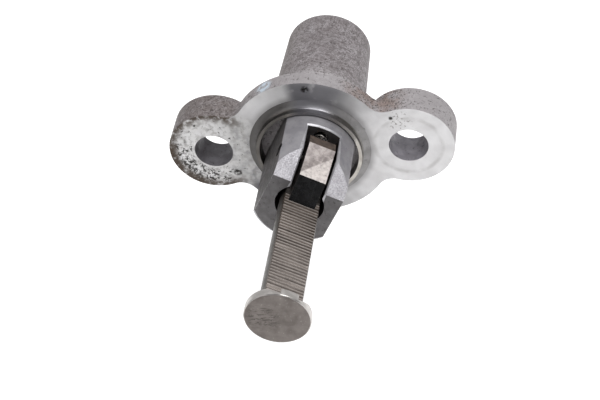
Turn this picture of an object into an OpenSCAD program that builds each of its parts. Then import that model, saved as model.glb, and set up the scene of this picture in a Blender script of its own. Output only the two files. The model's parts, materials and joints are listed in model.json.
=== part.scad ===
// Cam chain tensioner. A cast body bolts to the cylinder, a sprung plunger pushes on the chain
// guide, and a toothed pawl on a pin lets the plunger move out freely but not back.
// The gasket face is at y = 0, the plunger runs along -Y, the barrel along +Y, and +Z is up.
// The slot is rolled about the plunger's axis: in the rolled frame x goes across the slot and
// z goes straight out of it.

/* [Flange] */
// Distance between the two bolt holes
bolt_pitch = 34.2; // [33:0.1:38]
// Diameter of the clearance holes for the M6 bolts
bolt_hole_d = 6.8; // [6.2:0.1:7.6]
// Radius of the ears round the bolt holes
ear_r = 7.9; // [6.5:0.1:8.5]
// Thickness of the ears
ear_t = 6.2; // [4.5:0.1:9]
// Bevel on the ears' rear edge
ear_bevel = 0.4; // [0.1:0.1:0.8]
// Diameter of the flange's round middle
disc_d = 28.1; // [26:0.1:30]
// Thickness of the flange's round middle
disc_t = 3; // [2.2:0.1:4]
// Radius of the hollows where the ears meet the middle
waist_r = 3; // [1:0.5:6]

/* [Spigot] */
// Outer diameter of the spigot that locates the body in the cylinder
spigot_d = 18.4; // [18:0.1:20]
// Height of the spigot in front of the gasket face
spigot_h = 1.6; // [1.4:0.1:3]
// Width of the hollow flare at the spigot's foot
flare_w = 1.4; // [0.8:0.1:2]
// Height of that flare
flare_h = 0.75; // [0.3:0.05:0.8]
// Thickness of the spigot's rim
rim_t = 0.6; // [0.4:0.05:1]
// Width of the groove between the rim and the snout
groove_w = 0.3; // [0.2:0.05:0.6]
// Depth of the groove behind the gasket face
groove_depth = 1; // [0.5:0.1:1.5]

/* [Snout and slot] */
// Length of the snout in front of the gasket face
snout_l = 14.7; // [14.2:0.1:17]
// Width across the snout's two flats
flats_w = 12.5; // [11.5:0.1:13.5]
// Rounding of the snout's front edge
nose_round = 0.65; // [0.2:0.05:1]
// Height of the slanted face above the axis at the snout's front
slant_h = 4.1; // [3.6:0.1:5]
// Angle of the slanted face to the axis, in degrees
slant_angle = 37; // [32:1:42]
// Angle that the slot is rolled about the axis, in degrees
roll = 30; // [0:1:60]
// Width of the slot that holds the pawl
slot_w = 5.8; // [5.2:0.1:6.4]
// Length of the slot, from the snout's front back to its rear wall
slot_l = 11; // [10.2:0.1:11.2]
// Bevel round the slot's upper rim
rim_bevel = 0.25; // [0.1:0.05:0.4]

/* [Barrel and closure] */
// Diameter of the barrel at its foot
barrel_foot_d = 17.1; // [16.4:0.1:18]
// Diameter of the barrel at its rear end
barrel_end_d = 15.4; // [15:0.1:16.2]
// Fillet round the barrel's foot
barrel_fillet = 1; // [0.3:0.1:1.1]
// Rounding of the barrel's rear edge
barrel_round = 0.5; // [0.2:0.1:0.8]
// Nominal thread diameter of the screw that closes the barrel
screw_d = 10; // [9.5:0.5:10.5]
// Length of thread engaged in the barrel
thread_l = 5; // [4:0.5:8]
// Diameter of the screw's collar
collar_d = 12; // [11.6:0.1:12.4]
// Thickness of the screw's collar
collar_t = 1.3; // [1:0.1:3]
// Bevel on the screw's edges
screw_bevel = 0.3; // [0.1:0.05:0.45]
// Width across the flats of the screw's hexagon socket
hex_af = 5; // [4:0.5:6]
// Depth of the hexagon socket
hex_depth = 3.5; // [2:0.5:4]
// Diameter of the peg that centres the main spring
peg_d = 4; // [3.4:0.1:4.2]
// Length of the peg
peg_l = 3; // [2:0.5:5]
// Outer diameter of the sealing washer
washer_d = 12.4; // [12.2:0.1:13.5]
// Thickness of the sealing washer
washer_t = 0.8; // [0.5:0.1:1.5]

/* [Plunger] */
// Diameter of the plunger's rod
rod_d = 6.8; // [6.4:0.1:7.2]
// Diameter of the plunger's guide, which slides in the barrel's bore
guide_d = 8.24; // [8:0.02:8.4]
// Length of the guide
guide_l = 10.5; // [9:0.5:14]
// Length of solid steel between the guide's front and the main spring's seat
seat_l = 2; // [1.5:0.1:4]
// Bevel on the guide's ends
guide_bevel = 0.3; // [0.1:0.1:0.5]
// Diameter of the head that pushes on the chain guide
head_d = 10.6; // [9.5:0.1:12]
// Thickness of the head
head_t = 1.6; // [1.2:0.1:3]
// Rounding of the head's rear edge
head_round = 0.35; // [0.1:0.05:0.5]
// Bevel on the head's front edge
head_bevel = 0.15; // [0.05:0.05:0.4]
// Fillet between the head and the rod
neck_fillet = 0.6; // [0.2:0.1:0.8]
// Distance from the head to the first tooth
neck_l = 2.28; // [2:0.02:5]

/* [Ratchet] */
// Pitch of the ratchet teeth
tooth_pitch = 0.66; // [0.6:0.01:0.8]
// Depth of the ratchet teeth
tooth_depth = 0.38; // [0.25:0.01:0.4]
// Lean of the teeth's loaded faces, in degrees
load_angle = 33; // [32:1:38]
// Height of the rack's tooth crests above the axis
crest_h = 1.7; // [1.5:0.05:1.9]
// Number of teeth that the plunger can be pushed back
travel_teeth = 30; // [20:1:40]
// Number of teeth under the pawl
pawl_teeth = 5; // [3:1:5]
// Distance from the snout's front back to the pawl's pin
pin_back = 6.1; // [5.7:0.1:6.3]
// Height of the pin above the axis
pin_h = 4.35; // [4.3:0.05:4.6]
// Diameter of the pin
pin_d = 2.4; // [2:0.1:2.5]
// Depth of the pin's ends below the snout's flats
pin_recess = 0.6; // [0.2:0.1:1]
// Bevel on the pin's ends
pin_bevel = 0.2; // [0.1:0.05:0.4]
// Gap between the pawl and each side of the slot
pawl_gap = 0.6; // [0.3:0.1:0.9]
// Outer radius of the pawl's eye round the pin
eye_r = 2.1; // [1.9:0.05:2.2]
// Distance from the pin forward to the pawl's tip
pawl_reach = 7.6; // [7.5:0.1:8.2]
// Distance from the pin forward to the top of the pawl's front face
brow_reach = 5.6; // [5:0.1:6.5]
// Height of the top of the pawl's front face above the pin
brow_h = 1.45; // [1.2:0.05:1.8]
// Height of the pawl's crown above the pin
crown_h = 4.05; // [3.6:0.05:4.2]
// Distance from the pin back to the pawl's rear face
heel_back = 2.3; // [2.2:0.05:2.6]
// Height of the pawl's rear edge above the pin
heel_h = 3.55; // [3.3:0.05:3.6]
// Height of the lower end of the pawl's rear face above the pin
heel_foot_h = 0.7; // [0.4:0.05:1]

/* [Springs] */
// Wire diameter of the main spring
wire_d = 0.7; // [0.5:0.05:0.75]
// Outer diameter of the main spring
spring_d = 5.9; // [5.7:0.1:6.2]
// Number of turns of the main spring
spring_turns = 11; // [8:1:11]
// Wire diameter of the pawl's spring
pawl_wire_d = 0.3; // [0.2:0.05:0.4]
// Outer diameter of the pawl's spring
pawl_spring_d = 2.3; // [2:0.1:2.4]
// Number of turns of the pawl's spring
pawl_spring_turns = 7; // [5:1:9]
// Height of the pawl's spring above the axis
pocket_h = 6.1; // [6:0.05:6.2]
// Depth of the spring's pocket behind the slot's rear wall
pocket_depth = 4.2; // [3:0.1:5]

/* [Clearances] */
// Radial clearance of the plunger's guide in its bore
slide_gap = 0.04; // [0.02:0.01:0.08]
// Radial clearance of the pawl on its pin
pin_gap = 0.04; // [0.02:0.01:0.08]
// Radial clearance of the pin in the snout, where it is held
hold_gap = 0.01; // [0.005:0.005:0.02]
// Height that the pawl's teeth stand off the rack's
mesh_gap = 0.06; // [0.04:0.01:0.1]
// Gap between the plunger's shoulder and the pawl's eye, which stops it
stop_gap = 0.2; // [0.15:0.05:0.4]
// Gap left behind the plunger when it is pushed all the way back
end_gap = 0.4; // [0.3:0.1:2]
// Gap round each spring in its hole
spring_gap = 0.15; // [0.1:0.01:0.2]
// Gap at each end of a spring
seat_gap = 0.02; // [0.01:0.01:0.05]
// Radial clearance of the closing screw in its threaded hole
thread_gap = 0.02; // [0.01:0.01:0.05]
// Radial clearance of the washer round the screw
washer_gap = 0.1; // [0.05:0.05:0.2]

/* [Hidden] */
$fn = 96;
// Length by which a cut runs past the face that it opens
over = 1;
// Steps round one turn of a spring and sides round its wire, few because both springs are small
main_steps = 20;
main_sides = 8;
pawl_steps = 16;
pawl_sides = 6;
// Rise of a spring's closed end turn, in wire diameters
closed_rise = 1.03;

snout_r = spigot_d/2 - rim_t - groove_w;
guide_r = guide_d/2;
bore_r = guide_r + slide_gap;
rod_r = rod_d/2;

// Places along the axis, from the gasket face
pin_y = pin_back - snout_l;
slot_back_y = slot_l - snout_l;
pocket_y = slot_back_y + pocket_depth;
heel_y = pin_y + heel_back;
tip_y = pin_y - pawl_reach;
shoulder_y = pin_y + eye_r + stop_gap;
guide_end_y = shoulder_y + guide_l;
seat_y = shoulder_y + seat_l;
travel = travel_teeth*tooth_pitch;
screw_end_y = guide_end_y + travel + end_gap;
barrel_end_y = screw_end_y + thread_l;
// The rack runs on past the pawl's teeth at both ends of the travel
spare_front = 2;
spare_back = 1;
rack_teeth = spare_front + travel_teeth + pawl_teeth + spare_back;
rack_y = tip_y - (spare_front + travel_teeth)*tooth_pitch;
rack_end_y = rack_y + rack_teeth*tooth_pitch;
head_back_y = rack_y - neck_l;
head_face_y = head_back_y - head_t;

// Tooth form: a flat root, a ramp, a flat crest and the steeper loaded face
root_h = crest_h - tooth_depth;
tooth_flat = 0.03;
load_run = tooth_depth*tan(load_angle);
ramp_run = tooth_pitch - load_run - 2*tooth_flat;

// Points of an arc about [x, y] from angle a to angle b
function arc(x, y, r, a, b, steps = 6) =
    [for (i = [0:steps]) let (t = a + (b - a)*i/steps) [x + r*cos(t), y + r*sin(t)]];

// Saw-tooth line of n teeth from y0, raised by lift
function tooth_line(y0, n, lift) = [
    for (i = [0:n - 1]) let (y = y0 + i*tooth_pitch)
        each [[y, root_h + lift],
              [y + tooth_flat, root_h + lift],
              [y + tooth_flat + ramp_run, crest_h + lift],
              [y + tooth_pitch - load_run, crest_h + lift]],
    [y0 + n*tooth_pitch, root_h + lift]];

// Place of the wire's middle, as a length along the spring, after t of its turns. The first
// and last turns are closed against their neighbours, and the rest are evenly open.
function coil_y(t, turns, wire, length) =
    let (closed = wire*closed_rise, open = (length - wire - 2*closed)/(turns - 2))
    wire/2 + (t < 1 ? closed*t
              : t > turns - 1 ? length - wire - closed*(turns - t)
              : closed + (t - 1)*open);

// Turns a profile of [radius, y] points about the plunger's axis
module turned(points) {
    rotate([-90, 0, 0]) rotate_extrude() polygon(points);
}

// Turns its children about the plunger's axis into the slot's rolled frame
module rolled() {
    rotate([0, roll, 0]) children();
}

// Extrudes a side view of [y, z] points across the slot, half of w to each side
module across(w) {
    rotate([90, 0, 90]) linear_extrude(w, center = true) children();
}

// Extrudes a front view from the gasket face back by t
module plate(t) {
    translate([0, t, 0]) rotate([90, 0, 0]) linear_extrude(t) children();
}

// A bar of diameter d across the slot at the pin's place
module pin_bar(d, length) {
    translate([0, pin_y, pin_h]) rotate([0, 90, 0]) cylinder(d = d, h = length, center = true);
}

// Compression spring along +Y from the origin, with a round wire
module coil(outer_d, wire, turns, length, steps, sides) {
    mean_r = (outer_d - wire)/2;
    last = turns*steps;
    points = [for (i = [0:last]) for (k = [0:sides - 1])
        let (turn = 360*i/steps, side = 360*k/sides, r = mean_r + wire/2*cos(side))
        [r*cos(turn), coil_y(i/steps, turns, wire, length) + wire/2*sin(side), r*sin(turn)]];
    skin = [for (i = [0:last - 1]) for (k = [0:sides - 1])
        let (a = i*sides + k, b = i*sides + (k + 1)%sides)
        each [[a, b, b + sides], [a, b + sides, a + sides]]];
    ends = [[for (k = [sides - 1:-1:0]) k], [for (k = [0:sides - 1]) last*sides + k]];
    polyhedron(points = points, faces = concat(skin, ends));
}

// Fills the corner between the flange's middle and one ear up to a round hollow
module waist(side, up) {
    reach = bolt_pitch/2;
    a = disc_d/2 + waist_r;
    b = ear_r + waist_r;
    x = (a*a - b*b + reach*reach)/(2*reach);
    z = sqrt(a*a - x*x);
    difference() {
        polygon([[0, 0], [side*reach, 0], [side*x, up*z]]);
        translate([side*x, up*z]) circle(waist_r);
    }
}

module flange() {
    plate(disc_t) {
        circle(d = disc_d);
        for (side = [-1, 1]) for (up = [-1, 1]) waist(side, up);
    }
    for (side = [-1, 1]) translate([side*bolt_pitch/2, 0, 0])
        turned([[0, 0], [ear_r, 0], [ear_r, ear_t - ear_bevel], [ear_r - ear_bevel, ear_t],
                [0, ear_t]]);
}

// Barrel with a filleted foot, and the spigot with its hollow flare
module barrel_and_spigot() {
    foot_r = barrel_foot_d/2;
    end_r = barrel_end_d/2;
    turned(concat(
        [[0, 0], [foot_r + barrel_fillet, 0]],
        arc(foot_r + barrel_fillet, disc_t + barrel_fillet, barrel_fillet, 270, 180),
        arc(end_r - barrel_round, barrel_end_y - barrel_round, barrel_round, 0, 90),
        [[0, barrel_end_y]]));
    spigot_r = spigot_d/2;
    flare_r = (flare_w*flare_w + flare_h*flare_h)/(2*flare_h);
    turned(concat(
        [[0, 0], [0, -spigot_h], [spigot_r, -spigot_h]],
        arc(spigot_r + flare_w, -flare_r, flare_r, 90 + asin(flare_w/flare_r), 90)));
}

// Front snout: a round bar with two flats and a slanted face, rounded at its front edge
module snout() {
    intersection() {
        turned(concat(
            [[0, disc_t], [snout_r, disc_t]],
            arc(snout_r - nose_round, nose_round - snout_l, nose_round, 0, -90),
            [[0, -snout_l]]));
        rolled() across(flats_w)
            polygon([[-snout_l - over, -snout_r - over], [disc_t, -snout_r - over],
                     [disc_t, snout_r + over],
                     [-snout_l + (snout_r + over - slant_h)/tan(slant_angle), snout_r + over],
                     [-snout_l - over, slant_h - over*tan(slant_angle)]]);
    }
}

// Flared cut that bevels both edges of the slot where it opens through a surface at z = 0
module rim_cut(length) {
    w = slot_w/2;
    rotate([90, 0, 0]) linear_extrude(length)
        polygon([[over - w, -rim_bevel - over], [w - over, -rim_bevel - over],
                 [w + rim_bevel + over, over], [-w - rim_bevel - over, over]]);
}

// Slot down to the bore, open at the front and the top, with a bevelled rim
module slot() {
    top = snout_r + over;
    edge_h = sqrt(snout_r*snout_r - slot_w*slot_w/4);
    rolled() {
        across(slot_w)
            polygon([[-snout_l - over, 0], [slot_back_y, 0], [slot_back_y, top],
                     [-snout_l - over, top]]);
        translate([0, slot_back_y, edge_h]) rim_cut(snout_l);
        translate([0, -snout_l, slant_h]) rotate([slant_angle, 0, 0])
            translate([0, snout_r, 0]) rim_cut(snout_r + over);
    }
    intersection() {
        turned([[snout_r - rim_bevel, slot_back_y - over], [top, slot_back_y - over],
                [top, slot_back_y + rim_bevel + over], [snout_r - rim_bevel, slot_back_y]]);
        rolled() across(slot_w + 2*rim_bevel)
            square([2*snout_l, 2*top], center = true);
    }
}

module housing() {
    groove_r = snout_r + groove_w;
    pocket_r = pawl_spring_d/2 + spring_gap;
    color("#9a9594") difference() {
        union() {
            difference() {
                union() {
                    flange();
                    barrel_and_spigot();
                }
                turned([[0, -spigot_h - over], [groove_r, -spigot_h - over],
                        [groove_r, groove_depth], [0, groove_depth]]);
            }
            snout();
        }
        for (side = [-1, 1]) translate([side*bolt_pitch/2, 0, 0])
            turned([[0, -over], [bolt_hole_d/2, -over], [bolt_hole_d/2, ear_t + over],
                    [0, ear_t + over]]);
        turned([[0, -snout_l - over], [bore_r, -snout_l - over], [bore_r, screw_end_y - over],
                [screw_d/2, screw_end_y - over], [screw_d/2, barrel_end_y + over],
                [0, barrel_end_y + over]]);
        slot();
        rolled() {
            pin_bar(pin_d + 2*hold_gap, 2*snout_l);
            translate([0, pocket_y, pocket_h]) rotate([90, 0, 0])
                cylinder(r = pocket_r, h = pocket_depth + over);
        }
    }
}

// Head and rod, with the rack cut along the rod's flat. The rod runs on into the guide.
module toothed_rod() {
    head_r = head_d/2;
    rod_end_y = shoulder_y + seat_l/2;
    run_out = rod_r - crest_h;
    rolled() difference() {
        turned(concat(
            [[0, head_face_y], [head_r - head_bevel, head_face_y],
             [head_r, head_face_y + head_bevel]],
            arc(head_r - head_round, head_back_y - head_round, head_round, 0, 90),
            arc(rod_r + neck_fillet, head_back_y + neck_fillet, neck_fillet, 270, 180),
            [[rod_r, rod_end_y], [0, rod_end_y]]));
        across(2*rod_d)
            polygon(concat(
                [[rack_y - run_out*2, rod_r + run_out], [rack_y - run_out/2, crest_h],
                 [rack_y, crest_h]],
                tooth_line(rack_y, rack_teeth, 0),
                [[rack_end_y, crest_h], [rod_end_y + over, crest_h],
                 [rod_end_y + over, rod_r + run_out]]));
    }
}

// One turned piece: the toothed rod and the guide, bored from behind for the main spring
module plunger() {
    hole_r = spring_d/2 + spring_gap;
    color("#8f8783") difference() {
        union() {
            toothed_rod();
            turned([[0, shoulder_y], [guide_r - guide_bevel, shoulder_y],
                    [guide_r, shoulder_y + guide_bevel], [guide_r, guide_end_y - guide_bevel],
                    [guide_r - guide_bevel, guide_end_y], [0, guide_end_y]]);
        }
        turned([[0, seat_y], [hole_r, seat_y], [hole_r, guide_end_y + over],
                [0, guide_end_y + over]]);
    }
}

// Toothed pawl with an eye for its pin
module ratchet_pawl() {
    under_h = pin_h - eye_r;
    color("#4a4643") rolled() across(slot_w - 2*pawl_gap) difference() {
        union() {
            polygon(concat(
                tooth_line(tip_y, pawl_teeth, mesh_gap),
                [[tip_y + pawl_teeth*tooth_pitch, under_h], [pin_y, under_h],
                 [heel_y, pin_h + heel_foot_h], [heel_y, pin_h + heel_h],
                 [pin_y, pin_h + crown_h], [pin_y - brow_reach, pin_h + brow_h]]));
            translate([pin_y, pin_h]) circle(eye_r);
        }
        translate([pin_y, pin_h]) circle(d = pin_d + 2*pin_gap);
    }
}

module pawl_pin() {
    half = flats_w/2 - pin_recess;
    color("#c9c9cb") rolled() translate([0, pin_y, pin_h]) rotate([0, 90, 0])
        rotate_extrude() polygon([[0, -half], [pin_d/2 - pin_bevel, -half],
                                  [pin_d/2, pin_bevel - half], [pin_d/2, half - pin_bevel],
                                  [pin_d/2 - pin_bevel, half], [0, half]]);
}

module pawl_spring() {
    color("#b9b6b0") rolled() translate([0, heel_y + seat_gap, pocket_h])
        coil(pawl_spring_d, pawl_wire_d, pawl_spring_turns, pocket_y - heel_y - 2*seat_gap,
             pawl_steps, pawl_sides);
}

module main_spring() {
    color("#b9b6b0") translate([0, seat_y + seat_gap, 0])
        coil(spring_d, wire_d, spring_turns, screw_end_y - seat_y - 2*seat_gap, main_steps,
             main_sides);
}

// Closing screw with a low collar, a hexagon socket and a peg inside the main spring
module cap_screw() {
    collar_y = barrel_end_y + washer_t;
    rear_y = collar_y + collar_t;
    shank_r = screw_d/2 - thread_gap;
    peg_r = peg_d/2;
    collar_r = collar_d/2;
    color("#8d8b88") difference() {
        turned([[0, screw_end_y - peg_l], [peg_r - screw_bevel, screw_end_y - peg_l],
                [peg_r, screw_end_y - peg_l + screw_bevel], [peg_r, screw_end_y],
                [shank_r - screw_bevel, screw_end_y], [shank_r, screw_end_y + screw_bevel],
                [shank_r, collar_y], [collar_r, collar_y], [collar_r, rear_y - screw_bevel],
                [collar_r - screw_bevel, rear_y], [0, rear_y]]);
        translate([0, rear_y + over, 0]) rotate([90, 0, 0])
            cylinder(d = hex_af/cos(30), h = hex_depth + over, $fn = 6);
    }
}

module sealing_washer() {
    hole_r = screw_d/2 + washer_gap;
    color("#b87350")
        turned([[hole_r, barrel_end_y], [washer_d/2, barrel_end_y],
                [washer_d/2, barrel_end_y + washer_t], [hole_r, barrel_end_y + washer_t]]);
}

housing();
plunger();
ratchet_pawl();
pawl_pin();
pawl_spring();
main_spring();
cap_screw();
sealing_washer();
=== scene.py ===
import json
import math
import bmesh
import bpy
import numpy as np
from mathutils import Matrix, Vector

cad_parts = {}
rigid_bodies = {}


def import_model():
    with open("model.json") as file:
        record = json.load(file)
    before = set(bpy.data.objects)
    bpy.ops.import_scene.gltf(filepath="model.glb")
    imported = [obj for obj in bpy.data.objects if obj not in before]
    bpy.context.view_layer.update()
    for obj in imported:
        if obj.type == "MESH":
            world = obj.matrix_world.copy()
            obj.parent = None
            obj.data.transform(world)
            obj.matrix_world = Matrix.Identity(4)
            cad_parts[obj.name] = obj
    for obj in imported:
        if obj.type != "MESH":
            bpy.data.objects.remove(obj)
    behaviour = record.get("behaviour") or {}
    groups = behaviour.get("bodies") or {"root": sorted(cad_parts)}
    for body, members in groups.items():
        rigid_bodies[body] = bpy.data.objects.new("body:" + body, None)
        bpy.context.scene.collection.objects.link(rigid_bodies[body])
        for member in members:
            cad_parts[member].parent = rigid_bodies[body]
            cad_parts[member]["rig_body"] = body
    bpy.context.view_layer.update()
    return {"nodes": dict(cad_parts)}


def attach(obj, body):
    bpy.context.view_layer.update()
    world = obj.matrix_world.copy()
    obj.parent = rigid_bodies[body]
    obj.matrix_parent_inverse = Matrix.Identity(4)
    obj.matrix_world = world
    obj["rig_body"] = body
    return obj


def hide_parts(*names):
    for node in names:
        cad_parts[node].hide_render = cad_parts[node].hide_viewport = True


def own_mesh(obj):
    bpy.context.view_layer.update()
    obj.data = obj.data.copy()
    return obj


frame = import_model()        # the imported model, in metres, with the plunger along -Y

nodes = frame["nodes"]

mm = 0.001
slotRoll = math.radians(30)      # turn of the slot about the plunger's axis
acrossSlot = (math.cos(slotRoll), 0, -math.sin(slotRoll))
outOfSlot = (math.sin(slotRoll), 0, math.cos(slotRoll))
holePlaces = ((-17.1, 0), (17.1, 0))      # X and Z of the bolt holes, in millimetres


# Camera

photoView = {
    "azimuth": 14.339,      # degrees round the object from straight in front
    "elevation": 40.133,    # degrees above the horizon
    "roll": -10.693,        # degrees that the photograph's frame is turned
    "lens": 95.0,           # focal length in millimetres
    "sensor": 36,           # width in millimetres
    "place": (49.823, -208.548, 169.711),   # millimetres
}


def makeCamera(view):
    # back points from the object to the camera; right and up are then turned by the roll
    a, e, r = (math.radians(view[k]) for k in ("azimuth", "elevation", "roll"))
    back = Vector((math.sin(a)*math.cos(e), -math.cos(a)*math.cos(e), math.sin(e)))
    right = Vector((math.cos(a), math.sin(a), 0))
    up = back.cross(right)
    turnedRight = math.cos(r)*right + math.sin(r)*up
    turnedUp = math.cos(r)*up - math.sin(r)*right
    camera = bpy.data.objects.new("camera", bpy.data.cameras.new("camera"))
    camera.data.sensor_width = view["sensor"]
    camera.data.lens = view["lens"]
    camera.data.clip_start = 0.01
    axes = Matrix((turnedRight, turnedUp, back)).transposed().to_4x4()
    camera.matrix_world = Matrix.Translation(Vector(view["place"])*mm) @ axes
    bpy.context.scene.collection.objects.link(camera)
    bpy.context.scene.camera = camera


makeCamera(photoView)
print("camera placed")


# Small tools for materials

def linear(hexColour):
    # sRGB hex to linear red, green, blue and alpha
    parts = [int(hexColour[i:i + 2], 16)/255 for i in (1, 3, 5)]
    return tuple(p/12.92 if p <= 0.04045 else ((p + 0.055)/1.055)**2.4 for p in parts) + (1.0,)


def addNode(tree, kind, settings=None, links=None):
    # one node with its settings, and links from sockets or from a node's first output
    node = tree.nodes.new("ShaderNode" + kind)
    for key, value in (settings or {}).items():
        if isinstance(key, str) and hasattr(node, key):
            setattr(node, key, value)
        else:
            node.inputs[key].default_value = value
    for key, source in (links or {}).items():
        socket = source.outputs[0] if hasattr(source, "outputs") else source
        tree.links.new(socket, node.inputs[key])
    return node


def newMaterial(name, metallic, **shaderValues):
    # a material with its tree, its shader and the object's own coordinates
    material = bpy.data.materials.new(name)
    material.use_nodes = True
    tree = material.node_tree
    shader = tree.nodes["Principled BSDF"]
    shader.inputs["Metallic"].default_value = metallic
    for key, value in shaderValues.items():
        shader.inputs[key.replace("_", " ")].default_value = value
    place = addNode(tree, "TexCoord").outputs["Object"]
    return material, tree, shader, place


def patches(tree, place, sizeMm, low, high, detail=3.0, warp=0.0, squeeze=None):
    # 0 to 1 mask of irregular patches of one size, which squeeze narrows along X, Y or Z
    if squeeze:
        place = addNode(tree, "Mapping", {"Scale": squeeze}, {"Vector": place})
    noise = addNode(tree, "TexNoise", {"Scale": 1/(sizeMm*mm), "Detail": detail,
                                       "Distortion": warp}, {"Vector": place})
    return addNode(tree, "MapRange", {"From Min": low, "From Max": high},
                   {"Value": noise}).outputs[0]


def nearPoint(tree, place, pointMm, innerMm, outerMm):
    # 1 within innerMm of a point, falling to 0 at outerMm; the other way with outer below inner
    gap = addNode(tree, "VectorMath", {"operation": "DISTANCE", 1: tuple(c*mm for c in pointMm)},
                  {0: place})
    nearTo, farTo, near = (innerMm, outerMm, 1) if outerMm > innerMm else (outerMm, innerMm, 0)
    return addNode(tree, "MapRange", {"interpolation_type": "SMOOTHSTEP", "From Min": nearTo*mm,
                                      "From Max": farTo*mm, "To Min": near, "To Max": 1 - near},
                   {"Value": gap.outputs["Value"]}).outputs[0]


def beyond(tree, place, direction, startMm, endMm):
    # 0 below startMm and 1 above endMm along a direction from the origin
    reach = addNode(tree, "VectorMath", {"operation": "DOT_PRODUCT", 1: tuple(direction)},
                    {0: place})
    return addNode(tree, "MapRange", {"interpolation_type": "SMOOTHSTEP",
                                      "From Min": startMm*mm, "From Max": endMm*mm},
                   {"Value": reach.outputs["Value"]}).outputs[0]


def painted(tree, base, hexColour, *masks):
    # lays a colour over a colour where all masks are; a number among them thins the paint
    cover = masks[0]
    for mask in masks[1:]:
        product = addNode(tree, "Math", {"operation": "MULTIPLY"}, {0: cover})
        if isinstance(mask, (int, float)):
            product.inputs[1].default_value = mask
        else:
            tree.links.new(mask, product.inputs[1])
        cover = product.outputs[0]
    mix = addNode(tree, "Mix", {"data_type": "RGBA", 7: linear(hexColour)}, {0: cover})
    if isinstance(base, str):
        mix.inputs[6].default_value = linear(base)
    else:
        tree.links.new(base, mix.inputs[6])
    return mix.outputs[2]


def finish(tree, shader, place, colour, gloss, grainMm, depthMm, squeeze=(1, 1, 1)):
    # colour, a roughness that wanders between the two values of gloss, and a grain of bumps whose
    # size and depth are in millimetres; the roughness wanders five times as slowly as the grain
    tree.links.new(colour, shader.inputs["Base Color"])
    cloud = addNode(tree, "TexNoise", {"Scale": 1/(max(grainMm*5, 1.0)*mm), "Detail": 4.0},
                    {"Vector": place})
    rough = addNode(tree, "MapRange", {"From Min": 0.35, "From Max": 0.65, "To Min": gloss[0],
                                       "To Max": gloss[1]}, {"Value": cloud})
    tree.links.new(rough.outputs[0], shader.inputs["Roughness"])
    along = addNode(tree, "Mapping", {"Scale": squeeze}, {"Vector": place})
    grain = addNode(tree, "TexNoise", {"Scale": 1/(grainMm*mm), "Detail": 3.0},
                    {"Vector": along})
    bump = addNode(tree, "Bump", {"Strength": 0.6, "Distance": depthMm*mm}, {"Height": grain})
    tree.links.new(bump.outputs[0], shader.inputs["Normal"])


def latheTangent(tree, shader, place, keep):
    # the direction across the lathe's grooves, in which they spread the light: straight out
    # from the axis on a faced surface, keep (1, 0, 1), and along it on a cylinder, (0, 1, 0)
    out = addNode(tree, "VectorMath", {"operation": "MULTIPLY", 1: keep}, {0: place})
    unit = addNode(tree, "VectorMath", {"operation": "NORMALIZE"}, {0: out})
    tree.links.new(unit.outputs[0], shader.inputs["Tangent"])


# Pieces: each CAD solid's own surface, welded, with eased edges and true round normals

surfaceRules = {
    "mergeMm": 0.0005,
    "flatDegrees": 0.05,     # triangles that differ by less become one face
    "sharpDegrees": 28,      # edges sharper than this are eased
    "easedSteps": 2,
    "flatAreaMm2": 8,        # faces larger than this are flat ones
    "roundness": 0.985,      # least agreement of a round face's corners with its direction
}


def roundNormals(mesh, axes):
    # on a surface turned about an axis along Y, a corner's normal points straight out of it,
    # and on a flat face it is the face's own
    count, faces = len(mesh.loops), len(mesh.polygons)
    corner, flat, area = np.empty(count*3), np.empty(faces*3), np.empty(faces)
    mesh.corner_normals.foreach_get("vector", corner)
    mesh.polygons.foreach_get("normal", flat)
    mesh.polygons.foreach_get("area", area)
    corner, flat = corner.reshape(-1, 3), flat.reshape(-1, 3)
    points = np.empty(len(mesh.vertices)*3)
    mesh.vertices.foreach_get("co", points)
    vertex, start, total = (np.empty(n, dtype=np.int32) for n in (count, faces, faces))
    mesh.loops.foreach_get("vertex_index", vertex)
    mesh.polygons.foreach_get("loop_start", start)
    mesh.polygons.foreach_get("loop_total", total)
    face = np.repeat(np.arange(faces), total)
    size = np.hypot(flat[:, 0], flat[:, 2])
    isFlat = (area > surfaceRules["flatAreaMm2"]*mm*mm) | (abs(flat[:, 1]) > 0.9999)
    corner = np.where(isFlat[face][:, None], flat[face], corner)
    for axis in axes:
        out = points.reshape(-1, 3)[vertex][:, [0, 2]] - np.array(axis)*mm
        out /= np.maximum(np.linalg.norm(out, axis=1), 1e-9)[:, None]
        turn = (out*flat[face][:, [0, 2]]).sum(axis=1)/np.maximum(size[face], 1e-9)
        isRound = ((np.minimum.reduceat(abs(turn), start) > surfaceRules["roundness"])
                   & (size > 0.05))
        side = np.sign(np.add.reduceat(turn, start))
        chosen = isRound[face]
        # a cylinder or slight taper keeps its own slope along Y, an eased edge the smoothed one
        ny = np.where(abs(flat[face][:, 1]) < 0.06, flat[face][:, 1], corner[:, 1])
        nr = np.sqrt(np.clip(1 - ny**2, 0, 1))*side[face]
        corner[chosen] = np.stack([nr*out[:, 0], ny, nr*out[:, 1]], axis=1)[chosen]
    mesh.normals_split_custom_set(corner.tolist())


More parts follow.
